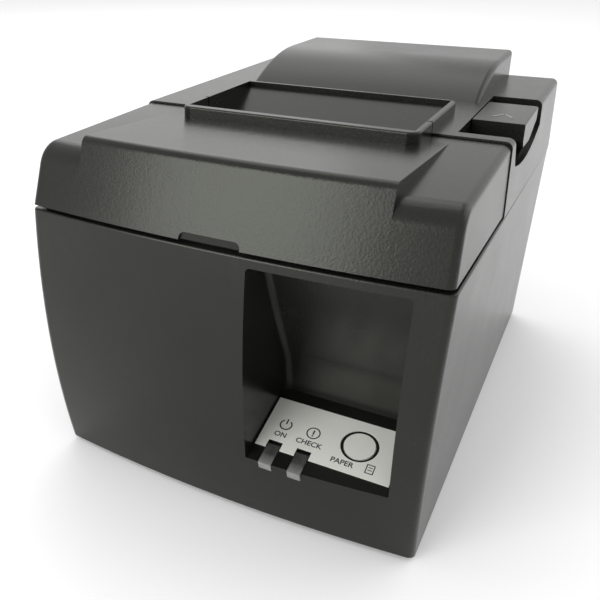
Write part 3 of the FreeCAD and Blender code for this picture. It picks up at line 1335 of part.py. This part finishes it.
def rear_sockets():
    """The data socket, the drawer socket and the mains inlet, each a little inside the rear face."""
    face = f"{REAR} - socket_shy"
    beyond = f"{REAR} + wall"
    usb = block("usb_shell", around("usb_x", "usb_half"), (f"{REAR} - usb_reach", face),
                (BOARD_TOP, f"{BOARD_TOP} + usb_rise"))
    usb_mouth = block("usb_mouth", around("usb_x", "(usb_half - usb_wall)"), (f"{REAR} - usb_depth", beyond),
                      (f"{BOARD_TOP} + usb_wall", f"{BOARD_TOP} + usb_rise - usb_wall"))
    usb_middle = f"{BOARD_TOP} + usb_rise / 2"
    tongue = block("usb_tongue_bar", around("usb_x", "usb_half / 2"),
                   (f"{REAR} - usb_depth - usb_wall", f"{face} - usb_wall"), around(usb_middle,
                                                                                    "usb_tongue / 2"))
    node(fuse("usb_socket", cut("usb_hollow", usb, usb_mouth), tongue), "usb_socket")
    jack = block("jack_shell", around("jack_x", "jack_half"), (f"{REAR} - jack_reach", face),
                 (BOARD_TOP, f"{BOARD_TOP} + jack_rise"))
    jack_low = f"{BOARD_TOP} + jack_wall"
    jack_high = f"{jack_low} + jack_mouth_rise"
    jack_depth = (f"{REAR} - socket_depth", beyond)
    jack_mouth = block("jack_hole", around("jack_x", "jack_mouth / 2"), jack_depth, (jack_low, jack_high))
    latch = block("jack_latch_hole", around("jack_x", "jack_latch / 2"), jack_depth,
                  (jack_low, f"{jack_high} + jack_latch_rise"))
    node(cut("drawer_jack", jack, jack_mouth, latch), "drawer_jack")
    body = block("inlet_body", around("inlet_x", "inlet_width / 2"), (f"{REAR} - inlet_reach", face),
                 around("inlet_z", "inlet_height / 2"))
    mouth = block("inlet_mouth", around("inlet_x", "(inlet_width / 2 - inlet_wall)"),
                  (f"{REAR} - socket_depth", beyond), around("inlet_z", "(inlet_height / 2 - inlet_wall)"))
    blades = []
    for shift, drop in (("-inlet_pitch", "inlet_drop"), ("0", "0"), ("inlet_pitch", "inlet_drop")):
        blades.append(block("inlet_blade", around(f"inlet_x + ({shift})", "inlet_pin / 2"),
                            (f"{REAR} - socket_depth - inlet_wall / 2", f"{REAR} - inlet_setback"),
                            around(f"inlet_z - inlet_low - {drop}", "inlet_pin")))
    node(fuse("power_inlet", cut("inlet_shell", body, mouth), *blades), "power_inlet")


def power_switch():
    """The rocker switch in the left wall; the rocker turns on two trunnions."""
    face = "-(base_width / 2 + switch_proud)"
    y_half = "(switch_length / 2 - fit)"
    z_half = "(switch_height / 2 - fit)"
    pivot = (f"{face} + rocker_pivot", "switch_y")
    box = block("switch_box", (face, "switch_depth - base_width / 2"), around("switch_y", y_half),
                around("switch_z", z_half))
    pocket = block("switch_pocket", ("-body_width", f"{face} + pocket_depth"),
                   around("switch_y", f"({y_half} - switch_wall)"),
                   around("switch_z", f"({z_half} - switch_wall)"))
    pivot_half = f"({z_half} - switch_wall / 2)"
    bore = rod("rocker_bore", "z", "trunnion_radius + fit", (*pivot, f"switch_z - {pivot_half}"),
               f"2 * {pivot_half}")
    node(cut("power_switch", box, pocket, bore), "power_switch")
    reach = f"({y_half} - switch_wall - 3 * slack)"
    shape = [
        (f"{face} + rocker_dip", f"switch_y - {reach}"),
        (f"{face} + rocker_waist", "switch_y"),
        (f"{face} - rocker_proud", f"switch_y + {reach}"),
        (f"{face} + rocker_toe", f"switch_y + {reach} - rocker_taper"),
        (f"{face} + rocker_back", "switch_y"),
        (f"{face} + rocker_heel", f"switch_y - {reach} + rocker_taper"),
    ]
    rocker = prism("rocker_block", shape, around("switch_z", f"({z_half} - switch_wall - slack)"), AXES["z"])
    trunnion = rod("rocker_trunnion", "z", "trunnion_radius", (*pivot, f"switch_z - {pivot_half} + slack"),
                   f"2 * ({pivot_half} - slack)")
    node(fuse("power_rocker", rocker, trunnion), "power_rocker")


for build in (lower_case, front_cover, rear_cover, lever_works, control_panel, floor_works, inner_frame,
              feed_works, print_head, cutter_works, paper_bucket, boards, rear_sockets, power_switch):
    build()
doc.recompute()

faults = []
for item in doc.Objects:
    if "Invalid" in item.State or "Error" in item.State:
        faults.append(f"{item.Name} {item.State}")
for item in nodes:
    shape = item.Shape
    if shape.isNull() or not shape.isValid() or not shape.Solids:
        faults.append(f"{item.Label} has no valid solid")
        continue
    box = shape.optimalBoundingBox()
    corners = [round(side, 1) for side in (box.XMin, box.XMax, box.YMin, box.YMax, box.ZMin, box.ZMax)]
    print(item.Label, len(shape.Solids), round(shape.Volume), corners)
if faults:
    raise RuntimeError("; ".join(faults))

os.makedirs("parts", exist_ok=True)
for item in nodes:
    item.Shape.exportStep(f"parts/{item.Label}.step")
print(len(nodes), "nodes written")
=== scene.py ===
# %% [markdown]
# # A receipt printer, dressed
# The solid model of the printer comes in as a fixed frame: case, covers, lever and works, each on its own
# moving body. This lesson gives each of them a finish that looks like the real material, and models the
# small things that a mould or a printing screen adds: the printed legend and the raised mark on the lever.

# %% Load the frame
import json
import math

import bpy
from mathutils import Matrix, Vector


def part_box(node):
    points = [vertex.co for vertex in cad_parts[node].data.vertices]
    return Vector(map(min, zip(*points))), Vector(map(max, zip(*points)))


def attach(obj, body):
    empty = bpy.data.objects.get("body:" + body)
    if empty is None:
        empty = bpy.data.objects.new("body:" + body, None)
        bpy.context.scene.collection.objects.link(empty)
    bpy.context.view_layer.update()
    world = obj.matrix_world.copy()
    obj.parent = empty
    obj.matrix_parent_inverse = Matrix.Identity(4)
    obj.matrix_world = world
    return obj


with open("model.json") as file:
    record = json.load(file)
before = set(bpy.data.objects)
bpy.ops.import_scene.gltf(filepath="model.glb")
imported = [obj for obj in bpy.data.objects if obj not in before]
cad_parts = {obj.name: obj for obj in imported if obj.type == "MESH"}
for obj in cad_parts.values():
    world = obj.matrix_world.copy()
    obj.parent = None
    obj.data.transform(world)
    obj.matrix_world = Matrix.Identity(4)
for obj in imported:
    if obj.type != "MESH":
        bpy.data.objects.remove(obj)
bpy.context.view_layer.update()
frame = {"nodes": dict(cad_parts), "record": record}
MM = 0.001

# %% [markdown]
# ## Starting a piece
# The frame's own pieces come in selected, and an operator acts on all that is selected. So everything is
# deselected before anything new is added.

# %% Start a piece


def started(name, add, **settings):
    """Deselect everything, then add one new object and name it."""
    bpy.ops.object.select_all(action="DESELECT")
    add(**settings)
    made = bpy.context.object
    made.name = name
    return made


print("ready to start pieces")

# %% [markdown]
# ## Camera
# The photograph is taken from above the right front corner, close to the object, so the far end looks much
# smaller. Its frame is cut from one side of the lens's picture, which a lens shift repeats. Only half of the
# shift is used, and the camera is fitted again with that, so that other views cut off less of the printer.

# %% Camera
CAMERA_PLACE = Vector((100.94, -283.02, 187.37)) * MM
CAMERA_AZIMUTH = math.radians(29.32)
CAMERA_ELEVATION = math.radians(22.44)
CAMERA_ROLL = math.radians(-0.4)
SENSOR_WIDTH = 36.0
LENS_LENGTH = 46.147
LENS_SHIFT = (0.16, -0.10)
NEAREST_SEEN = 10.0 * MM

camera = started("photo_camera", bpy.ops.object.camera_add)
camera.matrix_world = (Matrix.Translation(CAMERA_PLACE)
                       @ Matrix.Rotation(CAMERA_AZIMUTH, 4, "Z")
                       @ Matrix.Rotation(math.pi / 2 - CAMERA_ELEVATION, 4, "X")
                       @ Matrix.Rotation(CAMERA_ROLL, 4, "Z"))
camera.data.sensor_width = SENSOR_WIDTH
camera.data.lens = LENS_LENGTH
camera.data.shift_x, camera.data.shift_y = LENS_SHIFT
camera.data.clip_start = NEAREST_SEEN
camera.data.dof.use_dof = False
bpy.context.scene.camera = camera
bpy.context.scene.view_settings.view_transform = "Standard"
print("camera", [round(v, 4) for v in camera.location])

# %% [markdown]
# ## Writing shaders as sums
# A finish is a small graph of nodes. Wiring it by hand is slow to read, so one class stands for a socket and
# lets ordinary + - * and > build the Math nodes, and one method makes every other node.

# %% Graph maker
MIX_FIRST, MIX_SECOND, MIX_RESULT = 6, 7, 2  # the colour sockets of a Mix node


class Wire:
    """An output socket that can be used in a sum."""

    def __init__(self, graph, socket):
        self.graph = graph
        self.socket = socket

    def __add__(self, other):
        return self.graph.maths("ADD", self, other)

    def __radd__(self, other):
        return self.graph.maths("ADD", other, self)

    def __sub__(self, other):
        return self.graph.maths("SUBTRACT", self, other)

    def __rsub__(self, other):
        return self.graph.maths("SUBTRACT", other, self)

    def __mul__(self, other):
        return self.graph.maths("MULTIPLY", self, other)

    def __rmul__(self, other):
        return self.graph.maths("MULTIPLY", other, self)

    def __gt__(self, other):
        return self.graph.maths("GREATER_THAN", self, other)

    def __lt__(self, other):
        return self.graph.maths("LESS_THAN", self, other)


class Graph:
    """A node tree with one method that makes any node in it."""

    def __init__(self, tree):
        self.tree = tree

    def node(self, kind, settings, inputs, output=0):
        made = self.tree.nodes.new(kind)
        for key, setting in settings.items():
            setattr(made, key, setting)
        for key, entry in inputs.items():
            self.feed(made.inputs[key], entry)
        return Wire(self, made.outputs[output])

    def feed(self, socket, entry):
        if isinstance(entry, Wire):
            self.tree.links.new(entry.socket, socket)
        else:
            socket.default_value = entry

    def maths(self, operation, first, second):
        return self.node("ShaderNodeMath", {"operation": operation}, {0: first, 1: second})


class Finish(Graph):
    """A material with one Principled shader, and the textures that finishes share."""

    def __init__(self, name):
        self.material = bpy.data.materials.new(name)
        self.material.use_nodes = True
        super().__init__(self.material.node_tree)
        self.shader = self.tree.nodes["Principled BSDF"]

    def place(self, stretch=(1.0, 1.0, 1.0)):
        coordinates = self.node("ShaderNodeTexCoord", {}, {}, "Object")
        return self.node("ShaderNodeMapping", {}, {"Vector": coordinates, "Scale": stretch})

    def noise(self, size_mm, detail, stretch=(1.0, 1.0, 1.0)):
        return self.node("ShaderNodeTexNoise", {},
                         {"Vector": self.place(stretch), "Scale": 1.0 / (size_mm * MM), "Detail": detail})

    def blend(self, factor, first, second):
        return self.node("ShaderNodeMix", {"data_type": "RGBA"},
                         {"Factor": factor, MIX_FIRST: first, MIX_SECOND: second}, MIX_RESULT)

    def bump(self, height, strength, depth_mm):
        return self.node("ShaderNodeBump", {},
                         {"Strength": strength, "Distance": depth_mm * MM, "Height": height})

    def set(self, **sockets):
        for name, entry in sockets.items():
            self.feed(self.shader.inputs[name.replace("_", " ")], entry)
        return self.material


def colour(red, green, blue):
    return (red, green, blue, 1.0)


def grey(level):
    return colour(level, level, level)


print("graph maker ready")

# %% [markdown]
# ## Grained case plastic
# The case is moulded in charcoal plastic with a fine spark-eroded grain. Seen flat on it is nearly black, and
# at a glancing angle it picks up a broad pale sheen. So the base colour is very dark, the roughness fairly
# low, and a fine bump breaks up the sheen as the grain does.

# %% Case plastic
PLASTIC_IOR = 1.37
PLASTIC_SHEEN = colour(0.97, 1.0, 0.89)
NOISE_MIDDLE = 0.5


def grained_plastic(name, dark, light, rough, grain_mm, depth_mm):
    finish = Finish(name)
    cloud = finish.noise(size_mm=22.0, detail=3.0)
    grain = finish.noise(size_mm=grain_mm, detail=2.0)
    speck = finish.noise(size_mm=2.6 * grain_mm, detail=1.0)
    return finish.set(
        Base_Color=finish.blend(cloud * 0.45 + grain * 0.55, dark, light),
        Roughness=rough + (cloud - NOISE_MIDDLE) * 0.07 + (grain - NOISE_MIDDLE) * 0.08,
        IOR=PLASTIC_IOR,
        Specular_Tint=PLASTIC_SHEEN,
        Normal=finish.bump(grain * 0.7 + speck * 0.3, strength=0.55, depth_mm=depth_mm))


case_plastic = grained_plastic("case_plastic", colour(0.003, 0.003, 0.0027), colour(0.013, 0.0128, 0.0119),
                               rough=0.25, grain_mm=0.65, depth_mm=0.12)
inner_plastic = grained_plastic("inner_plastic", grey(0.012), colour(0.03, 0.03, 0.029),
                                rough=0.5, grain_mm=0.8, depth_mm=0.03)
print("case plastics:", case_plastic.name, inner_plastic.name)

# %% [markdown]
# ## Printed sheet and light guides
# The control sheet is a silver-printed film with a faint tooth. The light guides are smoky clear mouldings.
# Their colour has painted light and shade in it: a painted shade on top where they lead inside, and a painted
# light at the front.

# %% Sheet and guides
GUIDE_PAINTED_SHADE_Y = -94.5 * MM
GUIDE_PAINTED_LIGHT_Y = -98.5 * MM


def silver_sheet():
    finish = Finish("silver_sheet")
    tooth = finish.noise(size_mm=0.35, detail=2.0)
    cloud = finish.noise(size_mm=9.0, detail=2.0)
    return finish.set(
        Base_Color=finish.blend(tooth * 0.5 + cloud * 0.5,
                                colour(0.74, 0.75, 0.69), colour(0.86, 0.87, 0.81)),
        Roughness=tooth * 0.12 + 0.36,
        Metallic=0.25,
        Normal=finish.bump(tooth, strength=0.2, depth_mm=0.02))


def smoky_guide():
    finish = Finish("smoky_guide")
    haze = finish.noise(size_mm=1.8, detail=2.0)
    along = finish.node("ShaderNodeSeparateXYZ", {}, {"Vector": finish.place()}, "Y")
    # Base colour ramp: painted shade at the rear of each guide, painted light towards its front
    painted_light_ramp = finish.node("ShaderNodeMapRange", {"clamp": True},
                        {"Value": along, "From Min": GUIDE_PAINTED_SHADE_Y, "From Max": GUIDE_PAINTED_LIGHT_Y})
    return finish.set(
        Base_Color=finish.blend(haze * 0.3 + painted_light_ramp * 0.7, grey(0.03), colour(0.36, 0.36, 0.35)),
        Roughness=haze * 0.1 + 0.12,
        IOR=1.49,
        Transmission_Weight=0.45)


def black_ink(name, shade):
    finish = Finish(name)
    tooth = finish.noise(size_mm=0.3, detail=2.0)
    return finish.set(Base_Color=finish.blend(tooth, grey(shade), grey(shade * 1.6)),
                      Roughness=tooth * 0.1 + 0.5)


print("sheet, guides and ink ready")

# %% [markdown]
# ## Works inside
# Metal parts are drawn, rolled or plated, so each has streaks along its own direction. Rubber, gears, boards
# and the ceramic strip of the print head each have one fine texture of their own.

# %% Works
ALONG_X = (0.1, 1.0, 1.0)
FINELY_ALONG_X = (0.06, 1.0, 1.0)
LINES_ALONG_X = (0.05, 1.0, 1.0)
ROLLED_ALONG_Z = (1.0, 1.0, 0.15)
TURNED_ALONG_Z = (1.0, 1.0, 0.2)
CELLS_PER_METRE = 260.0
TRACK_EDGE = 0.42


def streaked_metal(name, dark, light, rough, stretch):
    finish = Finish(name)
    streak = finish.noise(size_mm=3.0, detail=4.0, stretch=stretch)
    spangle = finish.noise(size_mm=6.0, detail=1.0)
    return finish.set(
        Base_Color=finish.blend(streak * 0.7 + spangle * 0.3, dark, light),
        Roughness=rough + (streak - NOISE_MIDDLE) * 0.18,
        Metallic=1.0,
        Normal=finish.bump(streak, strength=0.25, depth_mm=0.02))


def soft_rubber():
    finish = Finish("soft_rubber")
    grain = finish.noise(size_mm=0.5, detail=2.0)
    return finish.set(
        Base_Color=finish.blend(grain, grey(0.018), colour(0.04, 0.04, 0.038)),
        Roughness=grain * 0.15 + 0.62,
        Normal=finish.bump(grain, strength=0.35, depth_mm=0.03))


def gear_plastic():
    finish = Finish("gear_plastic")
    cloud = finish.noise(size_mm=5.0, detail=2.0)
    return finish.set(
        Base_Color=finish.blend(cloud, colour(0.62, 0.59, 0.50), colour(0.72, 0.70, 0.62)),
        Roughness=cloud * 0.1 + 0.38,
        Normal=finish.bump(cloud, strength=0.1, depth_mm=0.03))


def circuit_board():
    finish = Finish("circuit_board")
    cells = finish.node("ShaderNodeTexVoronoi", {"distance": "MANHATTAN"},
                        {"Vector": finish.place(), "Scale": CELLS_PER_METRE})
    track = cells > TRACK_EDGE
    fleck = finish.noise(size_mm=0.8, detail=2.0)
    return finish.set(
        Base_Color=finish.blend(track * 0.6 + fleck * 0.2,
                                colour(0.008, 0.07, 0.03), colour(0.03, 0.17, 0.07)),
        Roughness=fleck * 0.12 + 0.3,
        Normal=finish.bump(track, strength=0.15, depth_mm=0.03))


def glazed_ceramic():
    finish = Finish("glazed_ceramic")
    line = finish.noise(size_mm=1.2, detail=1.0, stretch=LINES_ALONG_X)
    return finish.set(
        Base_Color=finish.blend(line, colour(0.60, 0.58, 0.53), colour(0.74, 0.72, 0.67)),
        Roughness=line * 0.1 + 0.16,
        Coat_Weight=0.4)


FINISHES = {
    "case_plastic": case_plastic,
    "inner_plastic": inner_plastic,
    "label": silver_sheet(),
    "light_guide": smoky_guide(),
    "steel": streaked_metal("turned_steel", colour(0.42, 0.42, 0.43), colour(0.60, 0.60, 0.61),
                            rough=0.3, stretch=ALONG_X),
    "sheet": streaked_metal("plated_sheet", colour(0.27, 0.28, 0.29), grey(0.40),
                            rough=0.45, stretch=ROLLED_ALONG_Z),
    "sink": streaked_metal("drawn_aluminium", colour(0.46, 0.46, 0.47), colour(0.58, 0.58, 0.59),
                           rough=0.38, stretch=FINELY_ALONG_X),
    "ceramic": glazed_ceramic(),
    "rubber": soft_rubber(),
    "gear": gear_plastic(),
    "board": circuit_board(),
    "brass": streaked_metal("turned_brass", colour(0.60, 0.44, 0.18), colour(0.78, 0.60, 0.30),
                            rough=0.3, stretch=TURNED_ALONG_Z),
}
for entry in frame["record"]["subparts"]:
    mesh = frame["nodes"][entry["node"]].data
    mesh.materials.clear()
    mesh.materials.append(FINISHES[entry["material_slot"]])

# %% [markdown]
# ## Places on the control panel
# The printed sheet lies on a floor that tilts up towards the rear. Its tilt comes from its largest face that
# looks up, and its front left corner is the leftmost of its foremost points. A place on the sheet is given
# in millimetres to the right of that corner and up the slope from it.

# %% Panel frame
SAME_PLACE_DIGITS = 6

label = frame["nodes"]["panel_label"].data
label_top = max(label.polygons, key=lambda face: face.area * max(face.normal.z, 0.0))
label_tilt = math.atan2(-label_top.normal.y, label_top.normal.z)
label_corner = min((point.co for point in label.vertices),
                   key=lambda co: (round(co.y, SAME_PLACE_DIGITS), co.x))
panel_frame = Matrix.Translation(label_corner) @ Matrix.Rotation(label_tilt, 4, "X")
ink = black_ink("legend_ink", shade=0.02)


def finish_piece(piece, place, material, body):
    """Move a piece made at the origin to its place, with the place in its mesh."""
    piece.matrix_world = place
    bpy.ops.object.select_all(action="DESELECT")
    piece.select_set(True)
    bpy.context.view_layer.objects.active = piece
    bpy.ops.object.transform_apply(location=True, rotation=True, scale=True)
    piece.data.materials.clear()
    piece.data.materials.append(material)
    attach(piece, body)
    print(piece.name, len(piece.data.vertices), "points")


def print_on_sheet(piece, right, up):
    """Lay a flat piece of ink on the sheet."""
    place = panel_frame @ Matrix.Translation(Vector((right, up, 0.0)) * MM)
    finish_piece(piece, place, ink, "case")


print("sheet tilts by", round(math.degrees(label_tilt), 2), "degrees")

# %% [markdown]
# ## Legends
# Short words name each lamp and the button. Text objects become meshes, and each is only as thick as ink.

# %% Words
INK_THICK = 0.02
INK_SPREAD = 0.06
WORD_HEIGHT = 2.7
WORDS = {
    "ON": (6.4, 6.2),
    "CHECK": (16.4, 6.2),
    "PAPER": (28.8, 3.2),
}
for text, (right, up) in WORDS.items():
    word = started(f"word_{text.lower()}", bpy.ops.object.text_add)
    word.data.body = text
    word.data.size = WORD_HEIGHT * MM
    word.data.align_x = "CENTER"
    word.data.align_y = "CENTER"
    word.data.extrude = INK_THICK / 2 * MM
    word.data.offset = INK_SPREAD * MM
    bpy.ops.object.convert(target="MESH")
    print_on_sheet(bpy.context.object, right, up)

# %% [markdown]
# ## Symbols
# A broken ring with a bar marks the power lamp, and a closed ring with a stroke and dot marks the error
# lamp. Each ring is spun from one short edge. Each stroke starts as a block, is flattened and has its edges
# clipped.

# %% Rings and bars
RING_STEPS = 48
WELD = 0.001
INK_CLIP = 0.004


def flat_ring(name, radius, width, start=0.0, sweep=360.0):
    """A flat ring, or part of one, spun clockwise from a short edge."""
    piece = started(name, bpy.ops.mesh.primitive_plane_add, size=1.0)
    bpy.ops.object.mode_set(mode="EDIT")
    bpy.ops.mesh.select_all(action="SELECT")
    bpy.ops.mesh.delete(type="ONLY_FACE")
    bpy.ops.object.mode_set(mode="OBJECT")
    for vertex in piece.data.vertices:
        vertex.select = vertex.co.y > 0
    bpy.ops.object.mode_set(mode="EDIT")
    bpy.ops.mesh.delete(type="VERT")
    bpy.ops.object.mode_set(mode="OBJECT")
    angle = math.radians(start)
    outwards = Vector((math.cos(angle), math.sin(angle), 0.0))
    inner, outer = piece.data.vertices
    inner.co = outwards * (radius - width / 2) * MM
    outer.co = outwards * (radius + width / 2) * MM
    bpy.ops.object.mode_set(mode="EDIT")
    bpy.ops.mesh.select_all(action="SELECT")
    bpy.ops.mesh.spin(steps=RING_STEPS, angle=math.radians(sweep), center=(0, 0, 0), axis=(0, 0, 1))
    bpy.ops.mesh.select_all(action="SELECT")
    bpy.ops.mesh.remove_doubles(threshold=WELD * MM)
    bpy.ops.mesh.normals_make_consistent(inside=False)
    bpy.ops.object.mode_set(mode="OBJECT")
    bpy.ops.object.modifier_add(type="SOLIDIFY")
    piece.modifiers[0].thickness = INK_THICK * MM
    piece.modifiers[0].offset = 0.0
    bpy.ops.object.modifier_apply(modifier=piece.modifiers[0].name)
    return piece


def block(name, size, edge, segments):
    """A block with its edges clipped or rounded off."""
    piece = started(name, bpy.ops.mesh.primitive_cube_add, size=MM)
    piece.scale = size
    bpy.ops.object.transform_apply(location=False, rotation=False, scale=True)
    bpy.ops.object.mode_set(mode="EDIT")
    bpy.ops.mesh.select_all(action="SELECT")
    bpy.ops.mesh.bevel(offset=edge * MM, segments=segments)
    bpy.ops.object.mode_set(mode="OBJECT")
    return piece


def stroke(name, width, length, right, up):
    """A straight stroke of ink on the sheet."""
    print_on_sheet(block(name, (width, length, INK_THICK), INK_CLIP, segments=1), right, up)


POWER_RIGHT, POWER_UP = 6.6, 10.6
print_on_sheet(flat_ring("power_mark_ring", radius=1.95, width=0.5, start=55.0, sweep=290.0),
               POWER_RIGHT, POWER_UP)
stroke("power_mark_bar", width=0.5, length=2.2, right=POWER_RIGHT, up=POWER_UP + 1.4)

ERROR_RIGHT, ERROR_UP = 16.4, 10.6
print_on_sheet(flat_ring("error_mark_ring", radius=2.15, width=0.45), ERROR_RIGHT, ERROR_UP)
stroke("error_mark_stroke", width=0.55, length=1.8, right=ERROR_RIGHT, up=ERROR_UP + 0.35)
stroke("error_mark_dot", width=0.55, length=0.55, right=ERROR_RIGHT, up=ERROR_UP - 1.1)

# %% [markdown]
# ## Sheet mark
# An outline of a sheet with two printed lines stands beside the word for paper. Each stroke has its width,
# its length and its place from the middle of the mark.

# %% Sheet
SHEET_RIGHT, SHEET_UP = 37.8, 3.9
SHEET_STROKES = {
    "left_edge": (0.35, 3.4, -1.2, 0.0),
    "right_edge": (0.35, 3.4, 1.2, 0.0),
    "top_edge": (2.75, 0.35, 0.0, 1.6),
    "bottom_edge": (2.75, 0.35, 0.0, -1.6),
    "upper_line": (1.4, 0.3, 0.0, 0.6),
    "lower_line": (1.4, 0.3, 0.0, -0.4),
}
for name, (width, length, right, up) in SHEET_STROKES.items():
    stroke(f"sheet_mark_{name}", width, length, SHEET_RIGHT + right, SHEET_UP + up)

# %% [markdown]
# ## Lever mark
# The lever carries a small raised chevron that shows which way to pull. Two short bars meet at its point,
# which is placed from the lever's front left corner.

# %% Chevron
CHEVRON_RIGHT, CHEVRON_BACK = 9.0, 23.4
CHEVRON_HALF = 3.2
CHEVRON_LENGTH = 5.2
CHEVRON_OVERLAP = 0.6
CHEVRON_WIDTH = 0.95
CHEVRON_THICK = 0.24
CHEVRON_ROUND = 0.06

lever_low, lever_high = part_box("lever")
chevron_point = (Vector((lever_low[0], lever_low[1], lever_high[2]))
                 + Vector((CHEVRON_RIGHT, CHEVRON_BACK, 0.0)) * MM)
mark_plastic = grained_plastic("mark_plastic", colour(0.16, 0.16, 0.155), colour(0.24, 0.24, 0.235),
                               rough=0.38, grain_mm=0.5, depth_mm=0.03)
for side, across in {"left": -CHEVRON_HALF, "right": CHEVRON_HALF}.items():
    run = Vector((across, -CHEVRON_LENGTH, 0.0))
    bar = block(f"lever_mark_{side}", (run.length + CHEVRON_OVERLAP, CHEVRON_WIDTH, CHEVRON_THICK),
                CHEVRON_ROUND, segments=2)
    middle = Matrix.Translation(chevron_point + run / 2 * MM)
    finish_piece(bar, middle @ Matrix.Rotation(math.atan2(run.y, run.x), 4, "Z"), mark_plastic,
                 "lever")

# %% [markdown]
# ## Stage and light
# The photograph has a white floor that runs into a white background and broad soft light, a little stronger
# from the left. The world is white and nearly even: just under full white where the camera, a reflection or
# a clear piece shows it, and a touch stronger as a lamp. Four wide lamps give the rest.

# %% Stage
FLOOR_SIZE = 6.0
FLOOR_TONE = 0.9
FLOOR_ROUGH = 0.8
WORLD_SEEN = 0.93
WORLD_AS_LAMP = 0.98
LAMP_AIM = Vector((0.0, 0.0, 0.06))
LAMPS = {  # place in metres, width in metres and power in watts
    "key_lamp": ((-0.4, -1.05, 0.45), 0.65, 8.0),
    "rear_lamp": ((-0.75, 1.1, 0.8), 0.9, 1.6),
    "top_lamp": ((-0.25, 0.45, 1.1), 0.8, 2.2),
    "right_lamp": ((0.8, 0.6, 0.7), 0.9, 2.0),
}

floor = started("studio_floor", bpy.ops.mesh.primitive_plane_add, size=FLOOR_SIZE)
floor.data.materials.append(Finish("studio_floor").set(Base_Color=grey(FLOOR_TONE), Roughness=FLOOR_ROUGH))

world = bpy.data.worlds.new("studio_world")
bpy.context.scene.world = world
world.use_nodes = True
sky = Graph(world.node_tree)
background = sky.tree.nodes["Background"]
camera_ray, glossy_ray, clear_ray = (sky.node("ShaderNodeLightPath", {}, {}, f"Is {ray} Ray")
                                     for ray in ("Camera", "Glossy", "Transmission"))
seen = sky.maths("MAXIMUM", sky.maths("MAXIMUM", camera_ray, glossy_ray), clear_ray)
strength = sky.node("ShaderNodeMapRange", {}, {"Value": seen, "To Min": WORLD_AS_LAMP, "To Max": WORLD_SEEN})
sky.feed(background.inputs["Color"], grey(1.0))
sky.feed(background.inputs["Strength"], strength)

for name, (place, width, power) in LAMPS.items():
    lamp = started(name, bpy.ops.object.light_add, type="AREA", location=place)
    lamp.data.size = width
    lamp.data.energy = power
    lamp.rotation_euler = (LAMP_AIM - Vector(place)).to_track_quat("-Z", "Y").to_euler()
print("stage:", floor.name, "lamps:", list(LAMPS))
